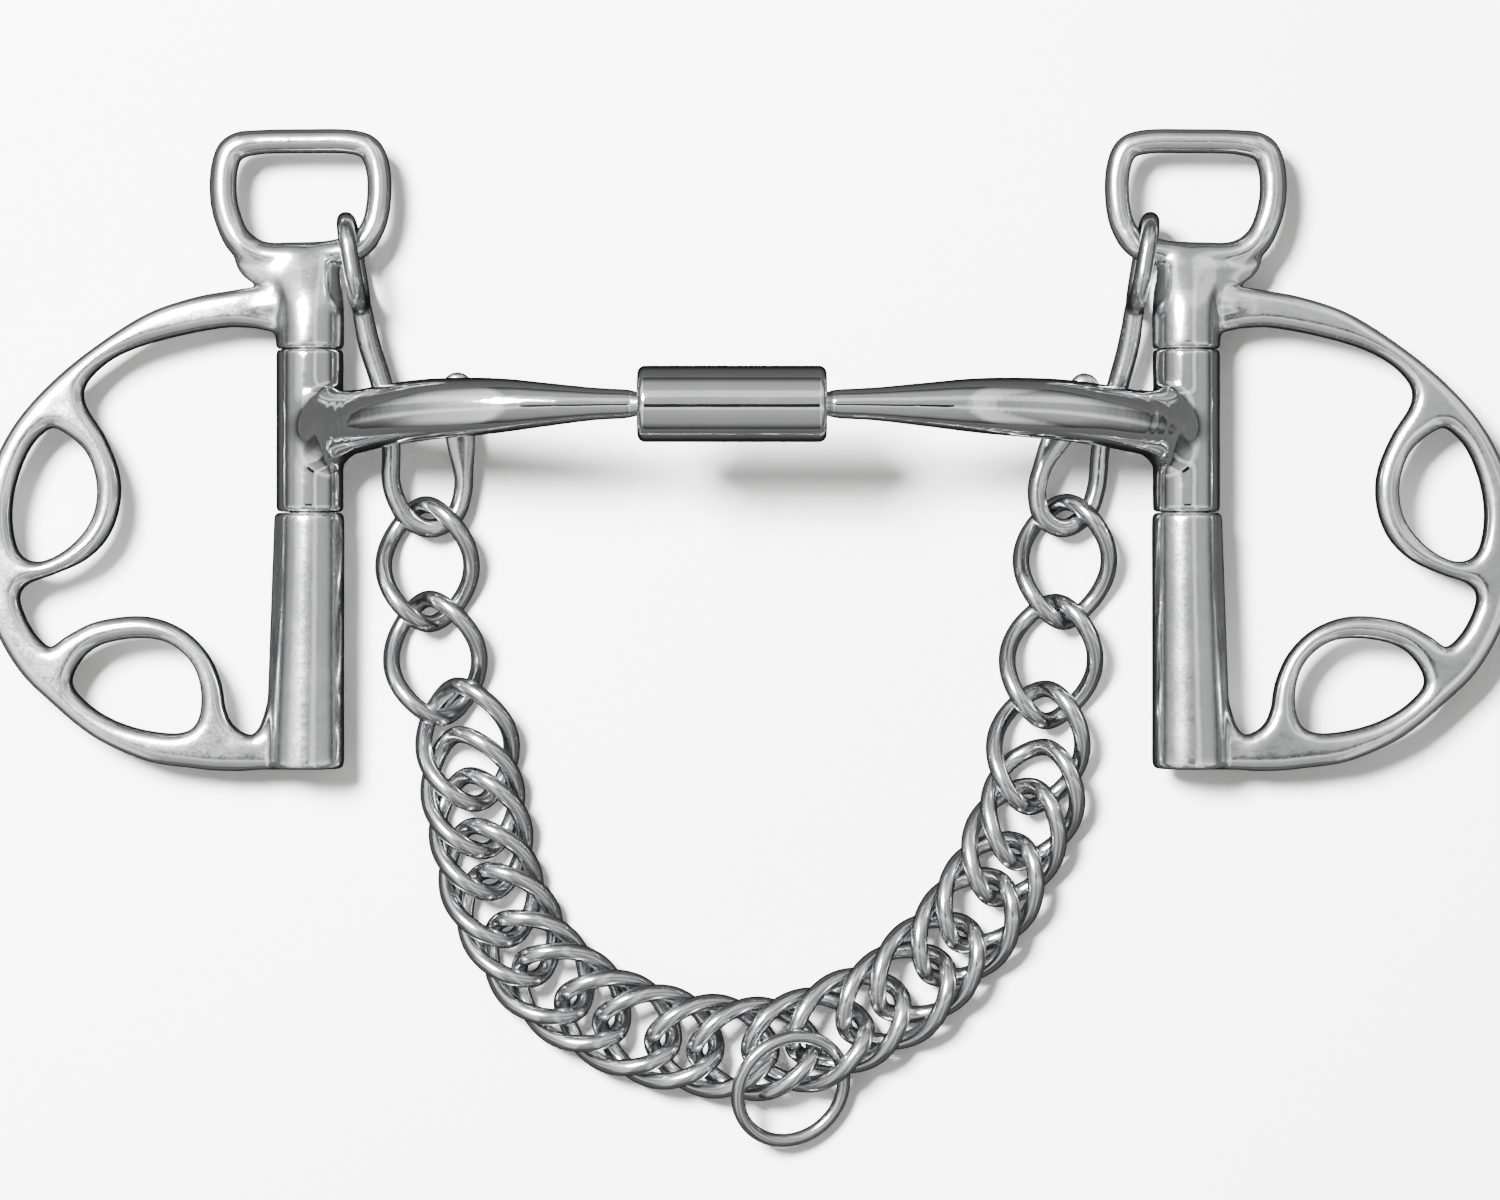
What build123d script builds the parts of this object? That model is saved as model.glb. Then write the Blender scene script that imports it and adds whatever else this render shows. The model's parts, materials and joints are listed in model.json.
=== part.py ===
from build123d import *
import os
import math
import time

# Curb bit (Kimblewick pattern) with a two-bar, centre-barrel mouthpiece, swivelling
# slotted D cheeks, two curb hooks and a double-link curb chain.
# It lies flat: +X runs from the left cheek to the right cheek, +Y from the chain to the
# headstall loops, +Z up from the surface.  Origin: middle of the bounding box, at its base.
# All lengths are millimetres.

os.makedirs("parts", exist_ok=True)
t_start = time.time()

# ---------------------------------------------------------------- driving dimensions
G = 6.35              # outline grid: outline units per millimetre
GX0, GY0 = 748.0, 640.0
shaft_x = 69.0        # cheek shaft axes at x = -69 and +69
shaft_z = 7.6         # height of the cheek plane above the surface
sleeve_r = 5.3        # sleeve, neck and lower tube radius
sleeve_y0, sleeve_y1 = 20.15, 45.75     # sleeve ends
seam = 0.10           # running gap at each end of the sleeve
tube_y0 = -20.3       # bottom of the lower tube
pin_r = 3.0           # swivel pin, pressed in the cheek
pin_bore_r = 3.06     # sleeve bore: 0.06 radial running clearance
pin_top_y = 55.0
loop_wire_r = 1.85    # headstall loop
plate_t = 4.4         # D ring thickness
neck_plate_t = 6.4

barrel_x = -2.45      # barrel centre
barrel_y = 36.3
barrel_z = 30.6
barrel_len = 29.0
barrel_r = 5.85
barrel_bore_r = 4.55
bush_len = 3.0
neck_r = 1.85         # neck of the mouth bar through the bush
bush_bore_r = 1.92
head_r = 4.1
head_len = 2.6
spindle_r = 1.2
spindle_bore_r = 1.26

hook_wire_r = 1.5
eye_half_len = 6.8    # centreline half length of the hook eye
eye_half_wid = 5.95
eye_wire_r = 1.4

link_wire = 2.7       # curb chain wire
link_b = 6.95         # centreline half width
link_a = 9.45         # centreline half length
link_twist = 46.0     # twist of each end of a link, degrees

ring_wire_r = 1.05   # lip strap ring
ring_R = 8.9


def P(x, y):
    """Outline grid point to millimetres, evening out the cheek's upper part."""
    lift = 7.0 * min(1.0, max(0.0, (770.0 - y) / 250.0))
    return ((x - GX0) / G, (GY0 - (y - lift)) / G)


def Q(x, y, z):
    return ((x - GX0) / G, (GY0 - y) / G, z)


def save(shape, name):
    export_step(shape, "parts/%s.step" % name)


def one(shape):
    s = shape.solids()
    s.sort(key=lambda q: -q.volume)
    return s[0]


def ycyl(r, y0, y1, x, z):
    return Plane(origin=(x, y0, z), x_dir=(1, 0, 0), z_dir=(0, 1, 0)) * extrude(Circle(r), y1 - y0)


def xcyl(r, x0, x1, y, z):
    return Plane(origin=(x0, y, z), x_dir=(0, 1, 0), z_dir=(1, 0, 0)) * extrude(Circle(r), x1 - x0)


def tube(path, r):
    pl = Plane(origin=path @ 0, z_dir=path % 0)
    return sweep(pl * Circle(r), path=path)


def bent_path(pts):
    """Straight runs joined by tangent arcs as large as the runs allow."""
    v = [Vector(*p) for p in pts]
    radii = []
    for i in range(1, len(v) - 1):
        a, b = v[i] - v[i - 1], v[i + 1] - v[i]
        turn = math.radians(a.get_angle(b))
        radii.append(0.45 * min(a.length, b.length) / math.tan(turn / 2))
    return FilletPolyline(*v, radius=radii)


def face_of(*curves):
    return make_face([e for c in curves for e in c.edges()])


def closed_face(pts):
    return face_of(Spline([Vector(*p) for p in pts], periodic=True))


# ---------------------------------------------------------------- left cheek
D_out = [P(290, 287), (P(240, 298)), P(196, 306), P(147, 323), P(94, 357), P(54, 390), P(22, 425), P(1, 460), P(-12, 495),
         P(-17, 530), P(-16, 568), P(-11, 605), P(1, 640), P(24, 676), P(56, 706), P(80, 726), P(107, 743),
         P(150, 760), P(190, 766), P(225, 769), P(290, 769)]
outer = face_of(Spline([Vector(*p) for p in D_out]),
                Polyline(P(290, 769), P(312, 769), P(312, 287), P(290, 287)))

D_in = [P(271, 338), P(245, 333), P(223, 333), P(179, 341), P(134, 354), P(104, 370), P(84, 392), P(84, 413), P(103, 444),
        P(117, 479), P(118, 511), P(107, 542), P(85, 564), P(54, 578), P(28, 587), P(18, 599), P(21, 616), P(33, 638),
        P(50, 652), P(68, 641), P(98, 627), P(143, 622), P(179, 633), P(205, 656), P(219, 685), P(224, 712), P(233, 729),
        P(250, 737), P(262, 729), P(268, 710)]
main_open = face_of(Spline([Vector(*p) for p in D_in]),
                    Polyline(P(268, 710), P(275, 520), P(340, 520), P(340, 342), P(284, 342), P(271, 338)))
slot_a = closed_face([P(58, 434), P(43, 438), P(27, 457), P(14, 491), P(10, 527), P(18, 560), P(40, 569), P(70, 555),
                      P(93, 528), P(99, 493), P(87, 457)])
slot_b = closed_face([P(70, 683), P(89, 653), P(125, 641), P(165, 643), P(192, 663), P(203, 692), P(200, 722),
                      P(184, 735), P(152, 734), P(116, 724), P(86, 706)])
plate2d = outer - main_open - slot_a - slot_b
plate = extrude(plate2d, plate_t / 2, both=True).moved(Location((0, 0, shaft_z)))
plate = one(plate)
try:
    plate = fillet(plate.edges().filter_by(Plane.XY), 1.3)
except Exception:
    try:
        plate = chamfer(plate.edges().filter_by(Plane.XY), 0.7)
    except Exception:
        pass

loop_pts = [P(226, 149.4), P(377, 148.4), P(378, 219), P(352, 258), P(246, 262), P(223, 222)]
loop_path = FilletPolyline(*[(p[0], p[1], shaft_z) for p in loop_pts], radius=3.4, close=True)
start = loop_path @ 0
loop = sweep(Plane(origin=start, z_dir=loop_path % 0) * Circle(loop_wire_r), path=loop_path)

fan_pts = [P(238, 258), P(352, 256), P(343, 268), P(342, 292), P(342.5, 330), P(277, 330), P(274, 300), P(262, 280), P(246, 270)]
fan = extrude(make_face(Polyline(*fan_pts, close=True)), neck_plate_t / 2, both=True).moved(Location((0, 0, shaft_z)))
try:
    fan = fillet(fan.edges().filter_by(Plane.XY), 1.2)
except Exception:
    pass
neck = ycyl(sleeve_r, sleeve_y1 + seam, 56.5, -shaft_x, shaft_z)
neck += Plane(origin=(-shaft_x, 56.5, shaft_z), x_dir=(1, 0, 0), z_dir=(0, 1, 0)) * Cone(
    sleeve_r, neck_plate_t / 2, 4.0, align=(Align.CENTER, Align.CENTER, Align.MIN))
lower = ycyl(sleeve_r + 0.05, tube_y0, sleeve_y0 - seam, -shaft_x, shaft_z)
lower = chamfer(lower.edges().group_by(Axis.Y)[0], 0.5)
cheek = plate + loop + fan + neck + lower
cheek -= ycyl(pin_r, tube_y0 - 1, pin_top_y, -shaft_x, shaft_z)
cheek = one(cheek)
save(cheek, "left_cheek")
print("cheek", cheek.is_valid, round(cheek.volume), round(time.time() - t_start, 1), "s")
right_cheek = mirror(cheek, about=Plane.YZ)
save(right_cheek, "right_cheek")
pin = ycyl(pin_r, tube_y0, pin_top_y, -shaft_x, shaft_z)
pin = chamfer(pin.edges().group_by(Axis.Y)[-1], 0.4)
save(pin, "left_swivel_pin")
save(mirror(pin, about=Plane.YZ), "right_swivel_pin")


# ---------------------------------------------------------------- mouth bars
def mouth_bar(side):
    """side -1 = left, +1 = right.  Sleeve, curved tapering bar, neck and button head in one piece."""
    sx = side * shaft_x
    end_x = barrel_x + side * barrel_len / 2
    span = abs(sx - end_x)
    ymid = (sleeve_y0 + sleeve_y1) / 2
    k = (span - 2.0) / 50.0
    st = [(0.0, 0.0, 0.0, 4.8), (5.3, 5.0, 0.6, 4.9), (12.0 * k, 11.0, 1.9, 4.8), (20.0 * k, 16.0, 2.8, 4.75),
          (30.0 * k, 19.8, 3.2, 4.3), (38.0 * k, 21.6, 3.3, 3.4), (45.0 * k, 22.6, 3.35, 2.6),
          (50.0 * k, 23.0, 3.35, 2.3)]
    pts = [Vector(sx - side * d, ymid + u, shaft_z + h) for d, h, u, r in st]
    path = Spline(pts)
    n = len(st)
    secs = []
    for i, (d, h, u, r) in enumerate(st):
        if i == 0:
            t = (pts[1] - pts[0]).normalized()
        elif i == n - 1:
            t = Vector(-side, 0, 0)
        else:
            t = (pts[i + 1] - pts[i - 1]).normalized()
        secs.append(Plane(origin=pts[i], x_dir=(0, 1, 0), z_dir=t) * Circle(r))
    bar = loft(secs)
    sleeve = ycyl(sleeve_r, sleeve_y0, sleeve_y1, sx, shaft_z)
    # wide root blending the bar into the sleeve
    root = loft([
        Plane(origin=(sx, ymid, shaft_z), x_dir=(0, 1, 0), z_dir=(-side * 0.73, 0.08, 0.68)) * Ellipse(8.6, 4.6),
        Plane(origin=pts[1], x_dir=(0, 1, 0), z_dir=(-side * 0.73, 0.08, 0.68)) * Ellipse(6.2, 4.95),
        Plane(origin=pts[2] - (pts[2] - pts[1]) * 0.35, x_dir=(0, 1, 0), z_dir=(-side * 0.76, 0.08, 0.64)) * Ellipse(4.8, 4.75)])
    # neck through the bush and button head inside the barrel
    hx = end_x - side * (bush_len + 0.12)
    nk = xcyl(neck_r, min(pts[-1].X, hx - side * 0.5), max(pts[-1].X, hx - side * 0.5), barrel_y, barrel_z)
    hd = xcyl(head_r, min(hx, hx - side * head_len), max(hx, hx - side * head_len), barrel_y, barrel_z)
    body = bar + sleeve + root + nk + hd
    body -= ycyl(pin_bore_r, sleeve_y0 - 1, sleeve_y1 + 1, sx, shaft_z)
    if side < 0:
        body -= xcyl(spindle_r, hx, hx + head_len + 5, barrel_y, barrel_z)
    else:
        body -= xcyl(spindle_bore_r, hx - head_len - 5, hx, barrel_y, barrel_z)
    return one(body), hx


left_bar, hl = mouth_bar(-1)
right_bar, hr = mouth_bar(1)
save(left_bar, "left_mouth_bar")
save(right_bar, "right_mouth_bar")
print(round(time.time() - t_start, 1), "bars", left_bar.volume, right_bar.volume, left_bar.bounding_box().size, right_bar.bounding_box().size)

# spindle keeps both heads on one axis: pressed in the left head, turning in the right one
save(xcyl(spindle_r, hl, hr - 0.3, barrel_y, barrel_z), "alignment_spindle")

# ---------------------------------------------------------------- centre barrel
bl, br = barrel_x - barrel_len / 2, barrel_x + barrel_len / 2
shell = xcyl(barrel_r, bl, br, barrel_y, barrel_z)
shell = fillet(shell.edges().filter_by(GeomType.CIRCLE), 1.2)
shell -= xcyl(barrel_bore_r, bl - 1, br + 1, barrel_y, barrel_z)
save(one(shell), "centre_barrel")
bush_l = xcyl(barrel_bore_r, bl, bl + bush_len, barrel_y, barrel_z) - xcyl(bush_bore_r, bl - 1, bl + bush_len + 1, barrel_y, barrel_z)
bush_r = xcyl(barrel_bore_r, br - bush_len, br, barrel_y, barrel_z) - xcyl(bush_bore_r, br - bush_len - 1, br + 1, barrel_y, barrel_z)
save(bush_l, "barrel_bush_left")
save(bush_r, "barrel_bush_right")


# ---------------------------------------------------------------- curb hooks
def hook(side):
    c = (353.5 - GX0) / G * (1 if side < 0 else -1)
    cy = (GY0 - 263.6) / G
    dx, dy = 0.167 * (1 if side < 0 else -1), -0.986
    corners = [(1, 1), (1, -1), (-1, -1), (-1, 1)]
    eye_path = FilletPolyline(*[(c + dx * eye_half_len * i, cy + dy * eye_half_len * i, shaft_z + eye_half_wid * j)
                                for i, j in corners], radius=5.0, close=True)
    eye = sweep(Plane(origin=eye_path @ 0, z_dir=eye_path % 0) * Circle(eye_wire_r), path=eye_path)
    if side < 0:
        sp = [Q(361.4, 306, 7.6), Q(368, 343, 7.0), Q(384, 392, 6.2), Q(391, 440, 5.6), Q(389, 487, 5.35), Q(404, 519, 5.0),
              Q(429, 531, 4.2), Q(454, 518, 3.4), Q(463, 488, 3.5), Q(461, 455, 4.2), Q(457, 415, 4.8), Q(456, 385, 5.0)]
        blade_a, blade_b = Q(460, 462, 4.1), Q(456, 386, 5.0)
    else:
        sp = [Q(1134.6, 306, 7.6), Q(1130, 343, 6.4), Q(1117, 392, 5.0), Q(1102, 440, 4.0), Q(1099, 487, 3.3), Q(1089, 516, 3.4),
              Q(1064, 531, 4.3), Q(1041, 518, 5.1), Q(1036, 488, 5.5), Q(1047, 455, 5.7), Q(1068, 420, 5.9), Q(1090, 386, 6.0)]
        blade_a, blade_b = Q(1043, 464, 5.6), Q(1090, 386, 6.0)
    wire = tube(bent_path(sp), hook_wire_r)
    # flattened thumb blade with a rounded tip
    a, b = Vector(*blade_a), Vector(*blade_b)
    d = (b - a)
    L = d.length
    bl_ = extrude(SlotOverall(L + 4.4, 4.4) if L > 0 else Circle(2.2), 1.0, both=True)
    pl = Plane(origin=(a + b) * 0.5, x_dir=d, z_dir=d.cross(Vector(0, 0, 1)).cross(d))
    bl_ = fillet(bl_.edges().filter_by(Plane.XY), 0.8)
    body = (eye + wire) + pl * bl_
    print("hook", side, [round(q.volume, 1) for q in body.solids()], eye.is_valid, wire.is_valid)
    return one(body)


lh = hook(-1)
rh = hook(1)
save(lh, "left_curb_hook")
save(rh, "right_curb_hook")
print(round(time.time() - t_start, 1), "hooks", lh.volume, rh.volume, lh.is_valid, rh.is_valid)


# ---------------------------------------------------------------- curb chain
def link_point(t):
    y = link_a * math.sin(t)
    psi = math.radians(link_twist) * y / link_a
    r = link_b * math.cos(t)
    return Vector(r * math.cos(psi), y, r * math.sin(psi))


def biarc(p, t, q, u):
    """Two arcs from p (direction t) to q (direction u), meeting in a common direction."""
    v, w = q - p, t + u
    k = 2 * (1 - t.dot(u))
    d = (-v.dot(w) + math.sqrt(v.dot(w) ** 2 + k * v.dot(v))) / k
    a, b = p + t * d, q - u * d
    m = (a + b) * 0.5
    return [TangentArc(p, m, tangent=t), TangentArc(m, q, tangent=(b - a).normalized())]


def link_solid(spans=6):
    halves, length = [], 0.0
    for t0 in (0.0, math.pi):
        ts = [t0 + math.pi * i / spans for i in range(spans + 1)]
        pts = [link_point(t) for t in ts]
        tans = [(link_point(t + 1e-4) - link_point(t - 1e-4)).normalized() for t in ts]
        arcs = []
        for i in range(spans):
            arcs += biarc(pts[i], tans[i], pts[i + 1], tans[i + 1])
        path = Wire([c.edge() for c in arcs])
        length += path.length
        halves.append(sweep(Plane(origin=pts[0], z_dir=tans[0]) * Circle(link_wire / 2), path=path))
    s = one(halves[0] + halves[1])
    print("link volume %.1f, section times length %.1f, valid %s" % (s.volume, math.pi * (link_wire / 2) ** 2 * length, s.is_valid))
    return s


link = link_solid()
# node, centre (x, y, z), orientation (intrinsic x, y, z angles)
links = [
    ("left_single_link_1", (-50.709, 11.968, 4.230), (0.00, 0.00, 2.0)),
    ("left_single_link_2", (-49.505, -2.902, 4.221), (0.0, 0.0, 7.0)),
    ("left_single_link_3", (-44.416, -16.532, 4.223), (0.07, 0.10, 11.37)),
    ("double_link_1a", (-43.605, -24.130, 4.245), (0.02, 0.68, 15.20)),
    ("double_link_1b", (-42.296, -30.669, 4.247), (-0.84, 0.29, 13.24)),
    ("double_link_2a", (-40.696, -38.386, 4.309), (-0.76, 1.27, 20.74)),
    ("double_link_2b", (-37.625, -44.976, 4.404), (0.64, 2.86, 28.94)),
    ("double_link_3a", (-33.256, -51.700, 4.215), (-1.82, -0.64, 42.87)),
    ("double_link_3b", (-28.058, -56.247, 4.484), (1.47, 0.02, 54.17)),
    ("double_link_4a", (-20.656, -60.375, 4.178), (0.16, -0.49, 65.51)),
    ("double_link_4b", (-14.205, -62.616, 4.336), (1.69, 0.07, 73.46)),
    ("double_link_5a", (-5.774, -64.205, 4.102), (-0.81, 0.25, 84.41)),
    ("double_link_5b", (0.977, -64.679, 4.309), (1.02, -0.97, 93.01)),
    ("double_link_6a", (9.428, -63.265, 4.667), (-2.84, -4.15, 103.36)),
    ("double_link_6b", (15.750, -60.477, 4.417), (3.90, 0.43, 117.67)),
    ("double_link_7a", (23.372, -56.501, 4.200), (0.63, -1.83, 125.34)),
    ("double_link_7b", (28.248, -51.942, 4.374), (0.85, 1.34, 132.15)),
    ("double_link_8a", (34.383, -45.580, 4.159), (0.89, -1.30, 142.99)),
    ("double_link_8b", (38.160, -40.053, 4.300), (0.61, 0.14, 146.90)),
    ("double_link_9a", (42.010, -32.071, 4.177), (-0.57, -1.54, 158.03)),
    ("double_link_9b", (44.893, -26.132, 4.341), (2.13, 1.07, 163.68)),
    ("right_single_link_3", (45.832, -17.076, 4.217), (0.06, -0.02, 169.75)),
    ("right_single_link_2", (47.878, -3.432, 4.230), (0.0, 0.0, 174.0)),
    ("right_single_link_1", (50.075, 12.343, 4.230), (0.0, 0.0, 178.0)),
]
for name, c, rot in links:
    save(Location(c, rot) * link, name)

# ---------------------------------------------------------------- lip strap ring
lip_c = (6.754, -70.734, 6.666)
lip_rot = (19.97, 19.76, 0.57)
ring = Location(lip_c, lip_rot) * Torus(ring_R, ring_wire_r)
save(ring, "lip_strap_ring")
print(round(time.time() - t_start, 1), "lip ring", ring.bounding_box())
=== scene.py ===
import bpy
import bmesh
import json
import math
import numpy as np
from mathutils import Matrix, Vector


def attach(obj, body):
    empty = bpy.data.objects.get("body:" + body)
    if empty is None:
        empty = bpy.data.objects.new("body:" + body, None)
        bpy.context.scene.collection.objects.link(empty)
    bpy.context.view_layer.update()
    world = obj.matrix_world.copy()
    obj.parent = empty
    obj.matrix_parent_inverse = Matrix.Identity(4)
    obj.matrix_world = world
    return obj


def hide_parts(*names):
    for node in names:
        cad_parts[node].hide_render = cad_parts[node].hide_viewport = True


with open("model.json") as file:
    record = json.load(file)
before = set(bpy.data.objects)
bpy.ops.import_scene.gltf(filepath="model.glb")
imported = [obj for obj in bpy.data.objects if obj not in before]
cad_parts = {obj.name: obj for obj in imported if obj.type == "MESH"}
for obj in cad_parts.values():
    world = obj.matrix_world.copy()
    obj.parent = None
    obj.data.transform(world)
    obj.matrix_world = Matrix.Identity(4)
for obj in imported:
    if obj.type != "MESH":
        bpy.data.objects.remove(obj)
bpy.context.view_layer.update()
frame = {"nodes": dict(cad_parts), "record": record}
MM = 0.001
scene = bpy.context.scene

# ------------------------------------------------------------------ camera, first
cam_data = bpy.data.cameras.new("camera")
cam = bpy.data.objects.new("camera", cam_data)
scene.collection.objects.link(cam)
dist = 0.80
cam_data.sensor_width = 36.0
cam_data.lens = 36.0 * dist / 0.2362
cam_data.clip_start = 0.01
cam_data.clip_end = 20.0
cam.location = (0.0003, 0.0063, 0.0076 + dist)
cam.rotation_euler = (0.0, 0.0, 0.0)
scene.camera = cam


# ------------------------------------------------------------------ curve helpers
def grid(x, y):
    lift = 7.0 * min(1.0, max(0.0, (770.0 - y) / 250.0))
    return ((x - 748.0) / 6.35, (640.0 - (y - lift)) / 6.35)


def flat(x, y, z):
    return ((x - 748.0) / 6.35, (640.0 - y) / 6.35, z)


def catmull(pts, n=10, closed=False):
    p = np.array(pts, float)
    if closed:
        q = np.vstack([p[-1], p, p[0], p[1]])
    else:
        q = np.vstack([2 * p[0] - p[1], p, 2 * p[-1] - p[-2]])
    out = []
    for i in range(1, len(q) - 2):
        a, b, c, d = q[i - 1], q[i], q[i + 1], q[i + 2]
        for k in range(n):
            t = k / n
            out.append(0.5 * ((2 * b) + (c - a) * t + (2 * a - 5 * b + 4 * c - d) * t * t + (3 * b - a - 3 * c + d) * t ** 3))
    if not closed:
        out.append(p[-1])
    return np.array(out)


def chaikin(pts, n=4):
    p = np.array(pts, float)
    for _ in range(n):
        q = [p[0]]
        for i in range(len(p) - 1):
            a, b = p[i], p[i + 1]
            if i > 0:
                q.append(0.75 * a + 0.25 * b)
            if i < len(p) - 2:
                q.append(0.25 * a + 0.75 * b)
        q.append(p[-1])
        p = np.array(q)
    return p


def bent(pts, n=8):
    """Straight runs joined by tangent arcs that take 0.45 of the shorter run at each corner."""
    v = [Vector(q) for q in pts]
    out = [v[0]]
    for i in range(1, len(v) - 1):
        a, c = v[i - 1] - v[i], v[i + 1] - v[i]
        d = 0.45 * min(a.length, c.length)
        u, w = a.normalized(), c.normalized()
        half = u.angle(w) / 2
        r = d * math.tan(half)
        cen = v[i] + (u + w).normalized() * (r / math.sin(half))
        p0, p1 = v[i] + u * d - cen, v[i] + w * d - cen
        tot = p0.angle(p1)
        for k in range(n + 1):
            t = k / n
            out.append(cen + (p0 * math.sin((1 - t) * tot) + p1 * math.sin(t * tot)) / math.sin(tot))
    out.append(v[-1])
    return np.array([tuple(q) for q in out])


def resample(p, n, closed=False):
    p = np.asarray(p, float)
    if closed:
        p = np.vstack([p, p[0]])
    s = np.r_[0, np.cumsum(np.linalg.norm(np.diff(p, axis=0), axis=1))]
    keep = np.r_[True, np.diff(s) > 1e-9]
    p, s = p[keep], s[keep]
    t = np.linspace(0, s[-1], n + 1)[:-1] if closed else np.linspace(0, s[-1], n)
    return np.stack([np.interp(t, s, p[:, k]) for k in range(p.shape[1])], 1)


def rounded_poly(pts, r, n=10):
    """Closed polygon with every corner rounded by radius r."""
    p = [Vector(q) for q in pts]
    out = []
    m = len(p)
    for i in range(m):
        a, b, c = p[i - 1], p[i], p[(i + 1) % m]
        u, v = (a - b).normalized(), (c - b).normalized()
        ang = u.angle(v)
        d = r / math.tan(ang / 2)
        s, e = b + u * d, b + v * d
        bis = (u + v).normalized()
        cen = b + bis * (r / math.sin(ang / 2))
        a0, a1 = s - cen, e - cen
        tot = a0.angle(a1)
        for k in range(n + 1):
            t = k / n
            w = (a0 * math.sin((1 - t) * tot) + a1 * math.sin(t * tot)) / math.sin(tot)
            out.append(cen + w)
    return np.array([tuple(q) for q in out])


# ------------------------------------------------------------------ mesh helpers
def new_object(name, verts, faces):
    me = bpy.data.meshes.new(name)
    me.from_pydata([tuple(v) for v in verts], [], faces)
    me.update()
    ob = bpy.data.objects.new(name, me)
    scene.collection.objects.link(ob)
    return ob


def frames(path, closed, up=None):
    p = np.asarray(path, float)
    n = len(p)
    if closed:
        t = np.roll(p, -1, 0) - np.roll(p, 1, 0)
    else:
        t = np.gradient(p, axis=0)
    t /= np.linalg.norm(t, axis=1)[:, None]
    if up is not None:
        u = np.array(up, float)
        a = np.cross(t, u)
        a /= np.linalg.norm(a, axis=1)[:, None]
        b = np.cross(a, t)
        return a, b
    a = np.zeros_like(p)
    ref = np.array([0, 0, 1.0]) if abs(t[0][2]) < 0.9 else np.array([1.0, 0, 0])
    v = np.cross(t[0], ref)
    v /= np.linalg.norm(v)
    a[0] = v
    for i in range(1, n):
        v = a[i - 1] - t[i] * np.dot(a[i - 1], t[i])
        a[i] = v / np.linalg.norm(v)
    b = np.cross(t, a)
    if closed:
        v = a[-1] - t[0] * np.dot(a[-1], t[0])
        v /= np.linalg.norm(v)
        ang = math.atan2(np.dot(np.cross(v, a[0]), t[0]), np.dot(v, a[0]))
        for i in range(n):
            w = ang * i / n
            ai, bi = a[i].copy(), b[i].copy()
            a[i] = ai * math.cos(w) + bi * math.sin(w)
            b[i] = -ai * math.sin(w) + bi * math.cos(w)
    return a, b


def tube(name, path, ra, rb=None, seg=24, closed=False, up=None):
    """Swept elliptical section: ra along the first frame axis, rb along the second. Millimetres in, metres out."""
    p = np.asarray(path, float)
    n = len(p)
    ra = np.full(n, ra, float) if np.isscalar(ra) else np.asarray(ra, float)
    rb = ra if rb is None else (np.full(n, rb, float) if np.isscalar(rb) else np.asarray(rb, float))
    a, b = frames(p, closed, up)
    verts = []
    for i in range(n):
        for k in range(seg):
            w = 2 * math.pi * k / seg
            verts.append((p[i] + a[i] * ra[i] * math.cos(w) + b[i] * rb[i] * math.sin(w)) * MM)
    faces = []
    for i in range(n if closed else n - 1):
        j = (i + 1) % n
        for k in range(seg):
            m = (k + 1) % seg
            faces.append((i * seg + k, i * seg + m, j * seg + m, j * seg + k))
    if not closed:
        c0, c1 = len(verts), len(verts) + 1
        verts.append(p[0] * MM)
        verts.append(p[-1] * MM)
        for k in range(seg):
            m = (k + 1) % seg
            faces.append((c0, m, k))
            faces.append((c1, (n - 1) * seg + k, (n - 1) * seg + m))
    ob = new_object(name, verts, faces)
    fix_normals(ob)
    return ob


def lathe(name, profile, axis, origin, seg=128):
    """profile: (distance along axis, radius) points of a closed ring section; axis "X" or "Y"."""
    verts, faces = [], []
    n = len(profile)
    for k in range(seg):
        w = 2 * math.pi * k / seg
        for s, r in profile:
            if axis == "X":
                v = (s, origin[1] + r * math.cos(w), origin[2] + r * math.sin(w))
            else:
                v = (origin[0] + r * math.cos(w), s, origin[2] + r * math.sin(w))
            verts.append(np.array(v) * MM)
    for k in range(seg):
        m = (k + 1) % seg
        for i in range(n):
            j = (i + 1) % n
            faces.append((k * n + i, k * n + j, m * n + j, m * n + i))
    ob = new_object(name, verts, faces)
    fix_normals(ob)
    return ob


def fix_normals(ob):
    bm = bmesh.new()
    bm.from_mesh(ob.data)
    bmesh.ops.remove_doubles(bm, verts=bm.verts, dist=1e-8)
    bmesh.ops.recalc_face_normals(bm, faces=bm.faces)
    bm.to_mesh(ob.data)
    bm.free()


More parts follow.
